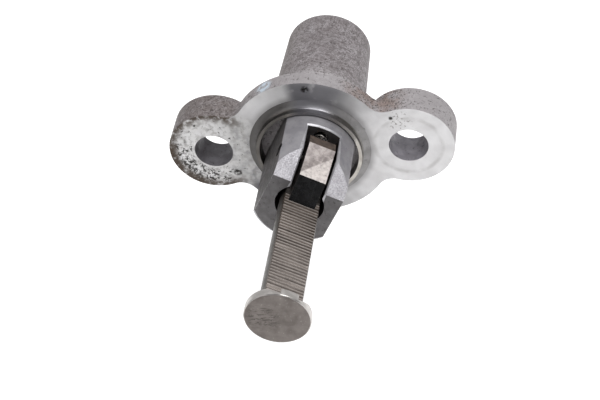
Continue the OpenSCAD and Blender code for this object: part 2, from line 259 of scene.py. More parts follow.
def weldedPiece(nodeName, pieceName, edgeMm, axes=((0, 0),)):
    # the node's triangles are merged and sharp edges are eased; flat strips along Y become
    # single faces, but those across Y stay triangles, because they have holes; axes are the X
    # and Z of the lines along Y that round faces are turned about
    sharp = math.radians(surfaceRules["sharpDegrees"])
    mesh = nodes[nodeName].data.copy()
    shell = bmesh.new()
    shell.from_mesh(mesh)
    bmesh.ops.remove_doubles(shell, verts=shell.verts, dist=surfaceRules["mergeMm"]*mm)
    along = [edge for edge in shell.edges
             if not any(abs(face.normal.y) > 0.99 for face in edge.link_faces)]
    bmesh.ops.dissolve_limit(shell, angle_limit=math.radians(surfaceRules["flatDegrees"]),
                             verts=[], edges=along)
    shell.to_mesh(mesh)
    shell.free()
    mesh.materials.clear()
    mesh.shade_smooth()
    mesh.set_sharp_from_angle(angle=sharp)
    piece = bpy.data.objects.new(pieceName, mesh)
    bpy.context.scene.collection.objects.link(piece)
    if edgeMm:
        bevel = piece.modifiers.new("eased edges", "BEVEL")
        bevel.width = edgeMm*mm
        bevel.segments = surfaceRules["easedSteps"]
        bevel.limit_method = "ANGLE"
        bevel.angle_limit = sharp
        bevel.harden_normals = True
        bevel.miter_outer = "MITER_ARC"
        graph = bpy.context.evaluated_depsgraph_get()
        piece.data = bpy.data.meshes.new_from_object(piece.evaluated_get(graph))
        piece.modifiers.clear()
    piece.data.name = pieceName
    roundNormals(piece.data, axes)
    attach(piece, nodes[nodeName]["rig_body"])
    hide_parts(nodeName)
    return piece


def faceData(mesh):
    # centres in millimetres and normals of all faces, in the part's frame and the slot's
    count = len(mesh.polygons)
    centres, normals = np.empty(count*3), np.empty(count*3)
    mesh.polygons.foreach_get("center", centres)
    mesh.polygons.foreach_get("normal", normals)
    centres, normals = centres.reshape(-1, 3)/mm, normals.reshape(-1, 3)
    intoSlot = np.array([acrossSlot, (0, 1, 0), outOfSlot])
    return centres, normals, centres @ intoSlot.T, normals @ intoSlot.T


def giveFinishes(piece, finishes, chosen):
    # finishes is a list of materials, chosen an index for each face
    for material in finishes:
        piece.data.materials.append(material)
    piece.data.polygons.foreach_set("material_index", chosen.astype(np.int32))


# In the dictionaries a pattern of patches is: size in mm, the noise levels where it starts and
# where it is full, detail, warp, and the squeeze along X, Y and Z. Patterns under about 0.3 mm,
# such as sand and lathe grooves, are drawn that coarse because finer ones wouldn't show.

# Cast aluminium, gravity cast in a coated die: a grey, finely sandy skin with oil stains

castValues = {
    "grey": "#9c9698",
    "dark": "#6d6667",
    "pale": "#b3afb2",
    "foot": "#c2bec0",
    "edge": "#aeaaac",
    "stain": "#655a54",
    "pit": "#3b3431",
    "rust": "#7d6456",
    "residue": "#c3cfdb",
    "clouds": (2.6, 0.42, 0.68, 7),
    "blotches": (0.9, 0.46, 0.62, 9, 0.1),
    "speckle": (0.25, 0.42, 0.64, 3),
    "streaks": (4.2, 0.42, 0.62, 3, 0, (1, 0.45, 1)),
    "footWear": (1.2, 0.24, 0.5, 6),
    "pits": (0.32, 0.57, 0.66, 3),
    "flecks": (0.6, 0.6, 0.66, 3, 0.8),
    "stainMm": ((3.5, 9), (6, 9)),    # to the left and to the back, where it starts and is full
    "footMm": ((-14, -8), (5.9, 6.3)),    # -Y over which it fades at the back, Y where it starts
    "flangeMm": (6.6, 6.0),           # Y where the barrel's foot ends and the flange begins
    "edgeMm": (-18, 4),               # X over which the flange's edge gets paler
    "leftEarMm": (9, 14),             # -X over which the left ear's oil starts
    "oilSpread": (1.5, 0.0, 0.6, 7),
    "oilSpots": (0.5, 0.5, 0.66, 6),
    "rustMm": (11.3, 2.6, 8.2),       # the notch between the disc and the right ear
    "rustReachMm": ((3, 7), (4, 8)),  # distances over which the rust and its black spots fade
    "rustSpread": (1.6, 0.3, 0.6, 5),
    "rustSpots": (0.32, 0.52, 0.62, 3),
    "residueMm": (-6.6, 1.4, 12.8),   # a bluish white spot on the disc's upper left edge
    "residueReachMm": (0.9, 1.9),
    "residueSpread": (1.1, 0.36, 0.48),
    "gloss": (0.5, 0.68),
    "grainMm": 0.28,
    "grainDepthMm": 0.09,
}


def castAluminium(values):
    # Sand-like skin that scatters the light, so it looks grey and dry with hardly a highlight
    material, tree, shader, place = newMaterial("cast aluminium, sandy skin", 0.25)
    colour = painted(tree, values["grey"], values["pale"],
                     patches(tree, place, *values["clouds"]), 0.75)
    colour = painted(tree, colour, values["dark"], patches(tree, place, *values["blotches"]), 0.75)
    colour = painted(tree, colour, values["dark"], patches(tree, place, *values["speckle"]), 0.85)
    # oil on the barrel's left, streaks along it and a paler foot
    toLeft, toBack = values["stainMm"]
    colour = painted(tree, colour, values["stain"], beyond(tree, place, (-1, 0, 0.2), *toLeft),
                     beyond(tree, place, (0, 1, 0), *toBack), 0.55)
    colour = painted(tree, colour, values["dark"], patches(tree, place, *values["streaks"]), 0.4)
    footEnd, footStart = values["footMm"]
    colour = painted(tree, colour, values["foot"], beyond(tree, place, (0, -1, 0), *footEnd),
                     beyond(tree, place, (0, 1, 0), *footStart),
                     patches(tree, place, *values["footWear"]), 0.9)
    colour = painted(tree, colour, values["pit"], patches(tree, place, *values["pits"]), 0.7)
    # the flange's edge is paler towards the right, and oily on the left ear
    barrelFrom, flangeTo = values["flangeMm"]
    flange = addNode(tree, "MapRange", {"From Min": barrelFrom*mm, "From Max": flangeTo*mm},
                     {"Value": addNode(tree, "SeparateXYZ", {}, {0: place}).outputs["Y"]})
    colour = painted(tree, colour, values["edge"], flange.outputs[0],
                     beyond(tree, place, (1, 0, 0), *values["edgeMm"]), 0.65)
    onLeft = beyond(tree, place, (-1, 0, 0), *values["leftEarMm"])
    colour = painted(tree, colour, values["stain"], flange.outputs[0], onLeft,
                     patches(tree, place, *values["oilSpread"]), 0.5)
    colour = painted(tree, colour, values["pit"], flange.outputs[0], onLeft,
                     patches(tree, place, *values["oilSpots"]), 0.6)
    # rust and dirt in the notch, black flecks all over, and the bluish spot
    rustReach, spotReach = values["rustReachMm"]
    colour = painted(tree, colour, values["rust"],
                     nearPoint(tree, place, values["rustMm"], *rustReach),
                     patches(tree, place, *values["rustSpread"]), 0.6)
    colour = painted(tree, colour, values["pit"],
                     nearPoint(tree, place, values["rustMm"], *spotReach),
                     patches(tree, place, *values["rustSpots"]), 0.8)
    colour = painted(tree, colour, values["pit"], patches(tree, place, *values["flecks"]), 0.65)
    colour = painted(tree, colour, values["residue"],
                     nearPoint(tree, place, values["residueMm"], *values["residueReachMm"]),
                     patches(tree, place, *values["residueSpread"]), 0.9)
    finish(tree, shader, place, colour, values["gloss"], values["grainMm"], values["grainDepthMm"])
    return material


# Painted reflection of a dark room in a sector of the flange's disc above, and painted shade of the
# nose in a sector below left

paintedDarkSectors = [
    {"colour": "#757479", "fromDegrees": 99, "toDegrees": 55, "strength": 0.9,
     "firstEdgeMm": (-1.2, 0.9), "lastEdgeMm": (-2.4, 3.0)},
    {"colour": "#58575c", "fromDegrees": 268, "toDegrees": 205, "strength": 0.85,
     "firstEdgeMm": (-1, 1), "lastEdgeMm": (-2.4, 4.0)},
]
paintedSectorsEndMm = (13.0, 17.0)             # distance from the axis over which the painted sectors fade
paintedSectorsPatches = (3.0, 0.2, 0.42, 4)


def withPaintedDarkSectors(tree, place, colour):
    # a sector is where a point lies clockwise of its first edge and not of its last
    for sector in paintedDarkSectors:
        first, last = math.radians(sector["fromDegrees"]), math.radians(sector["toDegrees"])
        colour = painted(tree, colour, sector["colour"],
                         beyond(tree, place, (math.sin(first), 0, -math.cos(first)),
                                *sector["firstEdgeMm"]),
                         beyond(tree, place, (-math.sin(last), 0, math.cos(last)),
                                *sector["lastEdgeMm"]),
                         nearPoint(tree, place, (0, 0, 0), *paintedSectorsEndMm),
                         patches(tree, place, *paintedSectorsPatches), sector["strength"])
    return colour


# Faced aluminium: the gasket face, turned bright in a lathe, with old sealant and grime on it, and
# with painted shade and a painted reflection

faceValues = {
    "metallic": 0.95,
    "metal": "#d3d2d3",
    "dull": "#c5c3c4",
    "dulling": (3.2, 0.42, 0.64, 5),
    # painted darker reflection on the left of the face
    "darkerLeftReflection": "#878687",
    "darkerLeftReflectionMm": ((1, 9), (-17, -11.5)),   # from the middle to the left, and from the left ear
    # painted shade near the spigot
    "shadeTowardsRelief": "#979596",
    "shadeTowardsReliefMm": (10.5, 12.0),
    "earMm": (8.5, 11),               # distance from the left hole over which its milkiness fades
    "milky": "#cfcecd",
    "milkSpread": (1.6, 0.36, 0.56, 6),
    "milkMetallic": 0.35,
    "dirt": "#918e8c",
    "dirtSpread": (0.9, 0.48, 0.64, 7),
    "sealant": "#1b1715",
    "sealantFromMm": (4.1, 3.5),      # distances from the left hole where the sealant starts
    "sealantToMm": (6.6, 7.9),        # and ends
    "sealantLowMm": (11.0, 18.5),     # towards the lower left, where it is thickest
    "crackleMm": 1.1,
    "crackleLine": (0.53, 0.022),     # noise level of a line and half its width
    "crackleGaps": (2.2, 0.38, 0.46, 2),
    "fleckMm": 0.8,
    "fleckLevels": (0.61, 0.65),
    "speckRagged": (0.6, 0.4, 0.48, 3),
    "specksMm": ((0.8, 12.7, 0.9), (9.5, 3.7, 0.7), (9.7, -0.7, 0.6), (-13.6, -4.9, 1.0),
                 (-20.8, -6.5, 1.3), (-24.1, -1.8, 0.8), (14.6, 6.0, 0.5)),   # x, z, radius
    "grime": "#4b4139",
    "grimeMm": ((7.7, 5.8), (8.1, 9.0)),  # distances from the left hole, at its inside and outside
    "grimeSidesMm": (11.0, 15.0),
    "grimeSpread": (0.9, 0.3, 0.5, 5),
    "mark": "#77736f",
    "marksMm": (16.0, 0, 5.2),        # dirty pits above the right hole
    "marksReachMm": (1.2, 2.8),
    "marks": (0.5, 0.56, 0.62, 4),
    "fewMarks": (0.5, 0.7, 0.76, 3),
    "wornRing": "#9c9a98",
    "wornRingMm": ((5.9, 6.4), (5.8, 5.2)),
    "wornRingGaps": (2.4, 0.36, 0.62, 3),
    "gloss": (0.5, 0.6),
    "grainMm": 0.3,
    "grainDepthMm": 0.006,
}


def facedAluminium(values):
    # Fine grooves round the axis throw the light out in a fan, so bright and dark sectors show; two
    # dark sectors are also painted on, as painted reflection and painted shade
    material, tree, shader, place = newMaterial("faced aluminium, lathe grooves",
                                                values["metallic"], Anisotropic=0.85)
    left, right = ((x, 0, z) for x, z in holePlaces)
    colour = painted(tree, values["metal"], values["dull"],
                     patches(tree, place, *values["dulling"]), 0.5)
    # painted darker reflection on the left
    toLeft, fromEar = values["darkerLeftReflectionMm"]
    colour = painted(tree, colour, values["darkerLeftReflection"], beyond(tree, place, (-0.8, 0, -0.6), *toLeft),
                     beyond(tree, place, (1, 0, 0), *fromEar), 0.8)
    # painted shade darkens the face softly towards the relief round the spigot
    colour = painted(tree, colour, values["shadeTowardsRelief"],
                     nearPoint(tree, place, (0, 0, 0), *values["shadeTowardsReliefMm"]), 0.75)
    # painted reflection and painted shade in two sectors
    colour = withPaintedDarkSectors(tree, place, colour)
    # the left ear is milky with dried sealant, which is no metal
    onEar = nearPoint(tree, place, left, *values["earMm"])
    milk = painted(tree, "#000000", "#ffffff", onEar, patches(tree, place, *values["milkSpread"]),
                   0.6)
    colour = painted(tree, colour, values["milky"], milk)
    tree.links.new(addNode(tree, "MapRange", {"To Min": values["metallic"],
                                              "To Max": values["milkMetallic"]},
                           {"Value": milk}).outputs[0], shader.inputs["Metallic"])
    colour = painted(tree, colour, values["dirt"], onEar,
                     patches(tree, place, *values["dirtSpread"]), 0.6)
    # thin crackled lines and flecks in a ring round the left hole
    ring = nearPoint(tree, place, left, *values["sealantToMm"])
    clear = nearPoint(tree, place, left, *values["sealantFromMm"])
    low = beyond(tree, place, (-0.72, 0, -0.7), *values["sealantLowMm"])
    crackle = addNode(tree, "TexNoise", {"Scale": 1/(values["crackleMm"]*mm), "Detail": 3.0,
                                         "Distortion": 0.9}, {"Vector": place})
    level, width = values["crackleLine"]
    lines = addNode(tree, "Math", {"operation": "COMPARE", 1: level, 2: width}, {0: crackle})
    colour = painted(tree, colour, values["sealant"], lines.outputs[0], ring, clear, low,
                     patches(tree, place, *values["crackleGaps"]), 0.9)
    flecks = addNode(tree, "TexNoise", {"Scale": 1/(values["fleckMm"]*mm), "Detail": 5.0,
                                        "Roughness": 0.6, "Distortion": 0.5}, {"Vector": place})
    more = addNode(tree, "Math", {"operation": "MULTIPLY_ADD", 1: 0.1}, {0: low, 2: flecks})
    least, full = values["fleckLevels"]
    cut = addNode(tree, "MapRange", {"From Min": least, "From Max": full}, {"Value": more})
    colour = painted(tree, colour, values["sealant"], cut.outputs[0], ring, clear, 0.9)
    for speckX, speckZ, radius in values["specksMm"]:
        colour = painted(tree, colour, values["sealant"],
                         nearPoint(tree, place, (speckX, 0, speckZ), radius*0.4, radius),
                         patches(tree, place, *values["speckRagged"]), 0.95)
    # grime along the left ear's outer and lower edge
    grimeFrom, grimeTo = values["grimeMm"]
    edge = nearPoint(tree, place, left, *grimeFrom)
    side = beyond(tree, place, (-0.85, 0, 0.5), *values["grimeSidesMm"])
    under = beyond(tree, place, (-0.6, 0, -0.8), *values["grimeSidesMm"])
    for where in (side, under):
        colour = painted(tree, colour, values["grime"], edge, where,
                         nearPoint(tree, place, left, *grimeTo),
                         patches(tree, place, *values["grimeSpread"]), 0.95)
    # pits above the right hole, a few elsewhere, and the faint ring that the washer wore
    colour = painted(tree, colour, values["mark"],
                     nearPoint(tree, place, values["marksMm"], *values["marksReachMm"]),
                     patches(tree, place, *values["marks"]), 0.8)
    colour = painted(tree, colour, values["mark"], patches(tree, place, *values["fewMarks"]), 0.6)
    ringOuter, ringInner = values["wornRingMm"]
    colour = painted(tree, colour, values["wornRing"], nearPoint(tree, place, right, *ringOuter),
                     nearPoint(tree, place, right, *ringInner),
                     patches(tree, place, *values["wornRingGaps"]), 0.4)
    latheTangent(tree, shader, place, (1, 0, 1))
    finish(tree, shader, place, colour, values["gloss"], values["grainMm"], values["grainDepthMm"])
    return material


# Turned aluminium: the spigot, the relief round it and the snout's round

turnedValues = {
    "spigot": {"name": "turned aluminium, spigot wall", "metallic": 0.85, "gloss": (0.28, 0.4),
               "colours": ("#7f7c79", "#6b6865", "#4a4643"), "across": (0, 1, 0),
               "grainMm": 0.3, "hasPaintedSectors": True},
    "ring": {"name": "turned aluminium, spigot end", "metallic": 0.85, "gloss": (0.3, 0.42),
             "colours": ("#b5b1ab", "#9d9892", "#7a746c"), "across": (1, 0, 1),
             "grainMm": 0.3, "hasPaintedSectors": True},
    "relief": {"name": "turned aluminium, relief", "metallic": 0.5, "gloss": (0.35, 0.48),
               "colours": ("#8c8a8a", "#7b7979", "#5f5c5b"), "across": (1, 0, 1),
               "grainMm": 0.3, "hasPaintedSectors": True},
    "snout": {"name": "turned aluminium, snout", "metallic": 0.45, "gloss": (0.42, 0.52),
              "colours": ("#9c9a9e", "#8c8a8f", "#757276"), "across": (0, 1, 0),
              "grainMm": 0.24, "hasPaintedSectors": False},
}
leftPaintedShade = "#3a3735"                   # painted shade on the left of the spigot, its end and the relief
leftPaintedShadeMm = (3, 7)


def turnedAluminium(values):
    # A lathe's fine ridges give a satin gloss that is drawn out across them
    material, tree, shader, place = newMaterial(values["name"], values["metallic"],
                                                Anisotropic=0.5)
    metal, shade, spots = values["colours"]
    colour = painted(tree, metal, shade, patches(tree, place, 2.0, 0.4, 0.64, 6))
    colour = painted(tree, colour, spots, patches(tree, place, 0.45, 0.62, 0.72, 3), 0.6)
    if values["hasPaintedSectors"]:
        # the same painted reflection and painted shade in two sectors as on the face
        colour = withPaintedDarkSectors(tree, place, colour)
        # painted shade on the left side
        colour = painted(tree, colour, leftPaintedShade, beyond(tree, place, (-1, 0, 0.3), *leftPaintedShadeMm), 0.85)
    latheTangent(tree, shader, place, values["across"])
    finish(tree, shader, place, colour, values["gloss"], values["grainMm"], 0.012, (0.3, 3, 0.3))
    return material


# Cast aluminium with fine sand marks: the slanted face

sandyValues = {
    "colours": ("#918f93", "#b4b2b7", "#8a888c"),
    "sand": (0.22, 0.36, 0.64, 3),
    "clouds": (1.5, 0.5, 0.7, 5),
    "gloss": (0.38, 0.55),
    "grainMm": 0.3,
    "grainDepthMm": 0.09,
}


def sandyAluminium(values):
    # Tiny pits and grains give a bright, even grey with a slight sparkle
    material, tree, shader, place = newMaterial("cast aluminium, fine bright sand", 0.4)
    metal, grains, shade = values["colours"]
    colour = painted(tree, metal, grains, patches(tree, place, *values["sand"]))
    colour = painted(tree, colour, shade, patches(tree, place, *values["clouds"]), 0.5)
    finish(tree, shader, place, colour, values["gloss"], values["grainMm"], values["grainDepthMm"])
    return material


# Milled and drilled aluminium, stained by oil: the snout's front and flats, slot and holes; the
# front, flats, slot and bore are darkened with painted shade, and the worn edges are pale with wear
# and a painted highlight

stainedValues = {
    # the front is darkened partly with painted shade
    "nose": {"name": "milled aluminium, nose with painted shade", "metallic": 0.3, "gloss": (0.45, 0.6),
             "colours": ("#626061", "#535051", "#3c3837")},
    # the flats are darkened with painted shade
    "flat": {"name": "milled aluminium, flats in painted shade", "metallic": 0.3, "gloss": (0.4, 0.55),
             "colours": ("#565354", "#4a4747", "#383434")},
    # the slot's walls are darkened with painted shade
    "slot": {"name": "milled aluminium, oily slot in painted shade", "metallic": 0.3, "gloss": (0.35, 0.5),
             "colours": ("#4d4a4a", "#3a3737", "#5a493c")},
    # nearly black: oil and painted shade in the bore, the slot's depth and the pin's hole
    "deep": {"name": "bored aluminium, oily, in painted shade", "metallic": 0.2, "gloss": (0.35, 0.5),
             "colours": ("#1b1918", "#131211", "#2a221d")},
    "hole": {"name": "drilled aluminium, right hole", "metallic": 0.4, "gloss": (0.4, 0.55),
             "colours": ("#98959c", "#827f85", "#565254")},
    "darkHole": {"name": "drilled aluminium, darker left hole", "metallic": 0.4,
                 "gloss": (0.4, 0.55), "colours": ("#68666b", "#5a575b", "#3f3c3d")},
    # pale: wear and a painted highlight on the eased edges
    "edge": {"name": "burnished aluminium, worn edges with painted highlight", "metallic": 0.5, "gloss": (0.38, 0.5),
             "colours": ("#bdbcc0", "#a9a8ac", "#8a888b")},
}


def stainedAluminium(values):
    # Cutter marks under a thin brown film, darker and less even than the turned faces; the darkest
    # kinds are painted shade, and the pale one carries a painted highlight
    material, tree, shader, place = newMaterial(values["name"], values["metallic"])
    metal, shade, spots = values["colours"]
    colour = painted(tree, metal, shade, patches(tree, place, 1.6, 0.38, 0.64, 6, 0.5))
    colour = painted(tree, colour, spots, patches(tree, place, 0.6, 0.6, 0.7, 4), 0.8)
    finish(tree, shader, place, colour, values["gloss"], 0.22, 0.04)
    return material


# Where each finish lies on the casting, in millimetres: r is the distance from the axis, y runs
# back along it, and across and out are in the slot's directions
castingMm = {
    "edge": 0.12,
    "snoutRadius": 8.4,
    "snoutEnd": -14.5,
    "spigotRadius": 9.35,
    "ringRadius": 9.3,
    "ringY": -1.45,
    "reliefRadius": 10.7,
    "faceFrom": 10.58,
    "flatAcross": 6,
    "slopeY": (-14.9, -3.3),
    "slotHalf": 3.3,
    "slotY": -3.2,
    "slotFloor": 5.6,
    "boreRadius": 5.05,
    "boltRadius": 3.45,
    "pin": (-8.6, 4.35),     # y and out of the cross pin
    "pinRadius": 1.4,
    "rearY": 29.3,
}


def makeHousing(places):
    piece = weldedPiece("housing", "castBody", places["edge"],
                        axes=((0, 0),) + holePlaces)
    finishes = {"skin": castAluminium(castValues), "face": facedAluminium(faceValues)}
    finishes.update({part: turnedAluminium(values) for part, values in turnedValues.items()})
    finishes["sandy"] = sandyAluminium(sandyValues)
    finishes.update({part: stainedAluminium(values) for part, values in stainedValues.items()})
    pick = {name: index for index, name in enumerate(finishes)}
    centres, normals, inSlot, turned = faceData(piece.data)
    x, y, z = centres.T
    across, out = inSlot[:, 0], inSlot[:, 2]
    r = np.hypot(x, z)
    toHole = np.minimum(*(np.hypot(x - hx, z - hz) for hx, hz in holePlaces))
    chosen = np.full(len(x), pick["skin"])
    # relief, spigot and its end
    chosen[(y < 0.5) & (r < places["reliefRadius"])] = pick["relief"]
    chosen[(y < 0.9) & (r < places["spigotRadius"]) & (r > places["snoutRadius"])] = pick["spigot"]
    chosen[(y < places["ringY"]) & (r < places["ringRadius"])
           & (r > places["snoutRadius"])] = pick["ring"]
    # snout: round, worn front edge with a painted highlight, front, flats in painted shade, slanted
    # face and its worn edges with a painted highlight
    onSnout = (y < 0.99) & (r < places["snoutRadius"])
    chosen[onSnout] = pick["snout"]
    chosen[onSnout & (normals[:, 1] < -0.3) & (y < places["snoutEnd"])] = pick["edge"]
    chosen[onSnout & (normals[:, 1] < -0.95) & (y < places["snoutEnd"])] = pick["nose"]
    chosen[onSnout & (abs(turned[:, 0]) > 0.98)
           & (abs(across) > places["flatAcross"])] = pick["flat"]
    slope = -0.602*turned[:, 1] + 0.799*turned[:, 2]     # 1 on the slanted face
    slopeStart, slopeEnd = places["slopeY"]
    chosen[onSnout & (slope > 0.75) & (y > slopeStart) & (y < slopeEnd) & (out > 3)
           & (abs(turned[:, 0]) < 0.3)] = pick["sandy"]
    chosen[onSnout & (y < -6) & (slope > 0.5) & (slope < 0.97) & (abs(normals[:, 1]) > 0.1)
           & (r > 8.0)] = pick["edge"]
    # slot: worn rim with a painted highlight, walls and depth in painted shade
    rim = onSnout & (abs(across) < places["slotHalf"]) & (y < places["slotY"]) & (out > 3)
    chosen[rim & (abs(across) > 2.9) & (slope > 0.3) & (slope < 0.95)] = pick["edge"]
    chosen[rim & (y > -3.75) & (r > 8.0)] = pick["edge"]
    inside = rim & (abs(across) < 2.95) & (turned[:, 2] < 0.5)
    chosen[inside] = pick["slot"]
    chosen[inside & (out < places["slotFloor"]) & (y < -5)] = pick["deep"]
    # bore and the pin's hole in painted shade, bolt holes, and the rear end
    chosen[(r < places["boreRadius"]) & (y > -14.6) & (abs(y) > 0.02)] = pick["deep"]
    inHole = (toHole < places["boltRadius"]) & (abs(normals[:, 1]) < 0.5)
    chosen[inHole & (x > 0)] = pick["hole"]
    chosen[inHole & (x < 0)] = pick["darkHole"]
    pinY, pinOut = places["pin"]
    chosen[(np.hypot(y - pinY, out - pinOut) < places["pinRadius"])
           & (abs(across) > 3.05)] = pick["deep"]
    chosen[(y > places["rearY"]) & (r > places["boreRadius"])] = pick["nose"]
    # the gasket face, which lies across Y at 0
    chosen[(normals[:, 1] < -0.3) & (abs(y) < 0.1) & (r > places["faceFrom"])] = pick["face"]
    giveFinishes(piece, finishes.values(), chosen)
    print("housing finished with", len(piece.data.polygons), "faces")


# Turned and hardened steel: the plunger, oily, with brown oil baked in the rack's grooves

plungerValues = {
    "steel": "#847f7b",
    "shade": "#6e6864",
    "crest": "#b6ada8",
    "crestShade": "#9d948f",
    "side": "#4a4643",
    "groove": "#30271f",
    # nearly black: painted shade inside the snout
    "shadeInsideSnout": "#191614",
    "clouds": (1.8, 0.4, 0.64, 6),
    "sideMm": (2.0, 2.8),             # to the left of the flat's middle
    "flatMm": (1.2, 1.3),             # height above the axis
    "crestHeightMm": 1.7,
    "grooveDepthMm": 0.38,
    "rackEndMm": -38.1,
    "oilMm": ((-35, -20), (-25, -15)),    # Y over which oil in the grooves, and on all, thickens
    "mouthMm": -14.9,
    "mouthSoftMm": 0.3,
    "gloss": (0.34, 0.46),
    "grainMm": 0.18,
    "grainDepthMm": 0.006,
}
headValues = {
    "colours": ("#77706c", "#665f5b"),
    "scratch": "#45403c",
    "scratchesMm": (-2.2, -41.2, 0.2),
    "scratchesReachMm": (1.2, 3.6),
    "scratches": (0.5, 0.5, 0.6, 5, 0.7, (0.5, 1, 1.6)),
    "rubbed": "#a49e98",
    # pale colours of the rim, a painted highlight
    "rim": ("#cac6c3", "#aaa6a3"),
    "rimRadiusMm": 4,
    "rimFromMm": -39.5,
    "faceMm": -41.1,
}


def rackSteel(values):
    # Hardened steel with a thin brown oil film: warm grey, with blurred highlights
    material, tree, shader, place = newMaterial("turned and hardened steel, oily", 0.7)
    colour = painted(tree, values["steel"], values["shade"],
                     patches(tree, place, *values["clouds"]), 0.9)
    # duller and browner on the left of the flat
    colour = painted(tree, colour, values["side"],
                     beyond(tree, place, tuple(-c for c in acrossSlot), *values["sideMm"]), 0.9)
    # the grooves hold dark oil, the crests are rubbed clean
    height = addNode(tree, "VectorMath", {"operation": "DOT_PRODUCT", 1: outOfSlot}, {0: place})
    top, rackEnd, mouth = values["crestHeightMm"], values["rackEndMm"], values["mouthMm"]
    deep = addNode(tree, "MapRange", {"From Min": (top - 0.03)*mm,
                                      "From Max": (top - values["grooveDepthMm"]*0.5)*mm},
                   {"Value": height.outputs["Value"]}).outputs[0]
    onFlat = beyond(tree, place, outOfSlot, *values["flatMm"])
    onRack = beyond(tree, place, (0, 1, 0), rackEnd - 0.1, rackEnd)
    colour = painted(tree, colour, values["crest"], onFlat, onRack)
    colour = painted(tree, colour, values["crestShade"], onFlat, onRack,
                     patches(tree, place, 2.2, 0.42, 0.66, 2), 0.25)
    # the oil is thickest near the snout
    inGrooves, onAll = values["oilMm"]
    colour = painted(tree, colour, values["groove"], onFlat, onRack, deep, 0.75)
    colour = painted(tree, colour, values["groove"], onFlat, onRack, deep,
                     beyond(tree, place, (0, 1, 0), *inGrooves), 0.8)
    colour = painted(tree, colour, values["groove"], onFlat,
                     beyond(tree, place, (0, 1, 0), *onAll), 0.4)
    # painted shade on the part of the plunger that lies inside the snout
    soft = values["mouthSoftMm"]
    colour = painted(tree, colour, values["shadeInsideSnout"],
                     beyond(tree, place, (0, 1, 0), mouth - soft, mouth + soft), 0.9)
    finish(tree, shader, place, colour, values["gloss"], values["grainMm"], values["grainDepthMm"])
    return material


def headSteel(values):
    # The worn end that pushed on the tensioner blade: matt, with dark scratches in its middle
    material, tree, shader, place = newMaterial("ground steel, worn head", 0.55)
    colour = painted(tree, *values["colours"], patches(tree, place, 1.9, 0.4, 0.62, 6))
    colour = painted(tree, colour, values["scratch"], patches(tree, place, *values["scratches"]),
                     nearPoint(tree, place, values["scratchesMm"], *values["scratchesReachMm"]),
                     0.85)
    colour = painted(tree, colour, values["rubbed"], patches(tree, place, 0.35, 0.64, 0.72, 4), 0.5)
    finish(tree, shader, place, colour, (0.4, 0.55), 0.22, 0.02)
    return material


def rimSteel(values):
    # The head's turned rim, polished by handling, in pale colours as a painted highlight: a bright
    # narrow highlight
    material, tree, shader, place = newMaterial("turned steel, head rim", 0.85)
    colour = painted(tree, *values["rim"], patches(tree, place, 1.8, 0.4, 0.66, 3))
    finish(tree, shader, place, colour, (0.3, 0.38), 0.2, 0.004, (0.3, 3, 0.3))
    return material


def makePlunger(head):
    piece = weldedPiece("plunger", "rackPlunger", 0)
    centres, normals, inSlot, turned = faceData(piece.data)
    x, y, z = centres.T
    chosen = np.zeros(len(x))
    chosen[(y < head["rimFromMm"]) & (np.hypot(x, z) > head["rimRadiusMm"])] = 2
    chosen[(y < head["faceMm"]) & (normals[:, 1] < -0.98)] = 1
    giveFinishes(piece, [rackSteel(plungerValues), headSteel(head), rimSteel(head)], chosen)
    print("plunger finished with", len(piece.data.polygons), "faces")


# Hardened steel, black oxide: the pawl, with its top scuffed pale and its front left glossy black

pawlValues = {
    "edgeMm": 0.07,
    "scuffed": "#aea6a3",
    "scuffShade": "#898180",
    "scuffs": (0.9, 0.42, 0.62, 6),
    "rubbed": "#cfc8c4",
    "rubbedMm": (8.9, 9.1),           # along the slant, where the rubbed corner starts
    "rubs": (0.6, 0.3, 0.6, 6),
    "stripe": "#6f6765",
    "stripeMm": ((-9.0, -8.8), (7.2, 8.6)),   # its lower edge, counted backwards, and its upper
    "stripeWear": (0.8, 0.3, 0.5, 5),
    "line": "#6c6360",
    "longLines": (0.35, 0.57, 0.66, 4, 0.3, (1.0, 3.0, 1.0)),
    "fineLines": (0.2, 0.6, 0.7, 3, 0, (0.4, 1.6, 0.4)),
}
blackValues = {
    "side": {"name": "black oxide steel, pawl sides", "gloss": (0.35, 0.5),
             "colours": ("#2b2827", "#3a3432", "#6a625e")},
    "front": {"name": "black oxide steel, glossy front", "gloss": (0.2, 0.32),
              "colours": ("#0e0e0f", "#141416", "#24232a")},
    # pale: wear and a painted highlight on the top's front edge
    "worn": {"name": "bare steel, worn edges with painted highlight", "gloss": (0.3, 0.4),
             "colours": ("#cfcac8", "#a8a19e", "#8a8380")},
    "rear": {"name": "black oxide steel, brown rear", "gloss": (0.35, 0.5),
             "colours": ("#5a4d44", "#3f3631", "#8a8078")},
}


def scuffedSteel(values):
    # Bare steel scratched along and across, with one darker stripe where the oxide is left
    material, tree, shader, place = newMaterial("hardened steel, scuffed top", 0.5)
    colour = painted(tree, values["scuffed"], values["scuffShade"],
                     patches(tree, place, *values["scuffs"]), 0.8)
    colour = painted(tree, colour, values["line"], patches(tree, place, *values["longLines"]), 0.6)
    # the lower right is rubbed bright, and a darker stripe runs slantwise above it
    slant = tuple(-0.65*a + 0.76*b for a, b in zip(acrossSlot, (0, 1, 0)))
    back = tuple(-c for c in slant)
    colour = painted(tree, colour, values["rubbed"], beyond(tree, place, back, *values["rubbedMm"]),
                     patches(tree, place, *values["rubs"]), 0.8)
    lowEdge, highEdge = values["stripeMm"]
    colour = painted(tree, colour, values["stripe"], beyond(tree, place, slant, *lowEdge),
                     beyond(tree, place, back, *highEdge),
                     patches(tree, place, *values["stripeWear"]), 0.7)
    colour = painted(tree, colour, values["line"], patches(tree, place, *values["fineLines"]), 0.5)
    finish(tree, shader, place, colour, (0.38, 0.5), 0.2, 0.02)
    return material


